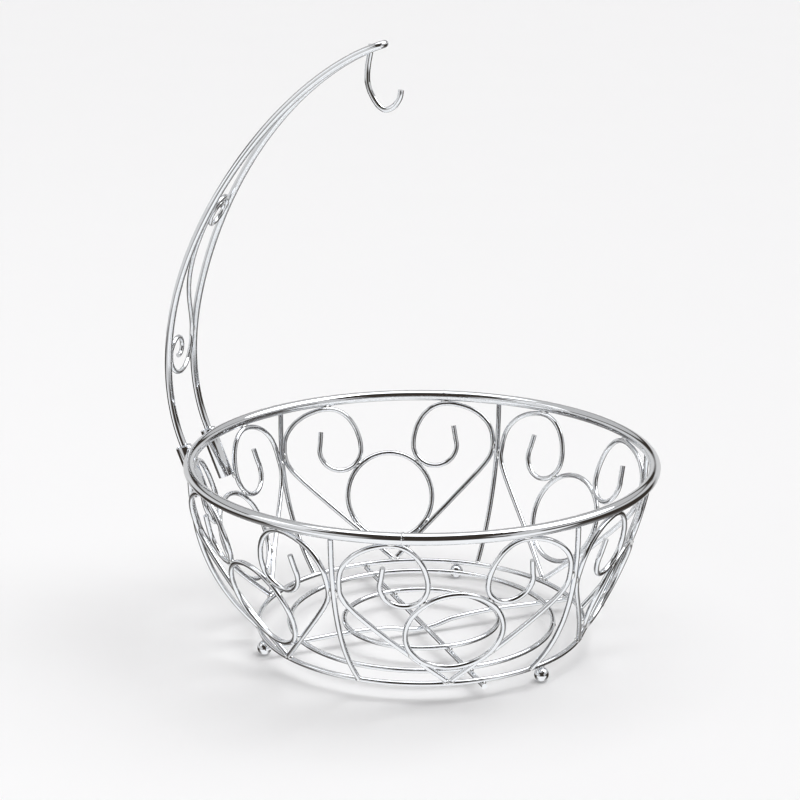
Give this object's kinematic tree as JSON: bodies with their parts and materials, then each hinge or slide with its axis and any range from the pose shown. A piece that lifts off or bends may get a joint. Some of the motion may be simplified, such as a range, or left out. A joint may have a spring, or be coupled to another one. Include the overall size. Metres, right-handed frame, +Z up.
{
  "type": "fruit bowl with banana hanger",
  "caption": "Round open wire fruit bowl with scrolled wall panels, ball feet and a curved lift-out hanger that ends in a hook over the bowl.",
  "frame": {"origin": "bottom centre of the whole object's bounding box, on the ground under the feet", "axes": "+Z up; the hanger stands on the -X side and bends over the bowl towards +X; +Y is the bowl's back"},
  "size_m": [0.3072, 0.292, 0.3701],
  "materials": {
    "wire": "polished plating",
    "feet": "polished plating",
    "sockets": "polished plating",
    "hanger": "polished plating"
  },
  "bodies": {
    "bowl": {"rim_ring": "wire", "base_ring": "wire", "floor_ring_outer": "wire", "floor_ring_inner": "wire", "cross_wire_upper": "wire", "cross_wire_lower": "wire", "strut_1": "wire", "strut_2": "wire", "strut_3": "wire", "strut_4": "wire", "strut_5": "wire", "strut_6": "wire", "scroll_left_1": "wire", "scroll_left_2": "wire", "scroll_left_3": "wire", "scroll_left_4": "wire", "scroll_left_5": "wire", "scroll_left_6": "wire", "scroll_right_1": "wire", "scroll_right_2": "wire", "scroll_right_3": "wire", "scroll_right_4": "wire", "scroll_right_5": "wire", "scroll_right_6": "wire", "panel_ring_1": "wire", "panel_ring_2": "wire", "panel_ring_3": "wire", "panel_ring_4": "wire", "panel_ring_5": "wire", "panel_ring_6": "wire", "foot_1": "feet", "foot_2": "feet", "foot_3": "feet", "socket_front": "sockets", "socket_rear": "sockets"},
    "hanger": {"hanger_frame": "hanger", "hanger_scroll": "hanger", "hanger_hook": "hanger"}
  },
  "joints": [
    {"name": "hanger_lift", "type": "slide", "parent": "bowl", "child": "hanger", "axis": [-0.3652, 0, 0.9309], "range_m": [0, 0.05]}
  ]
}
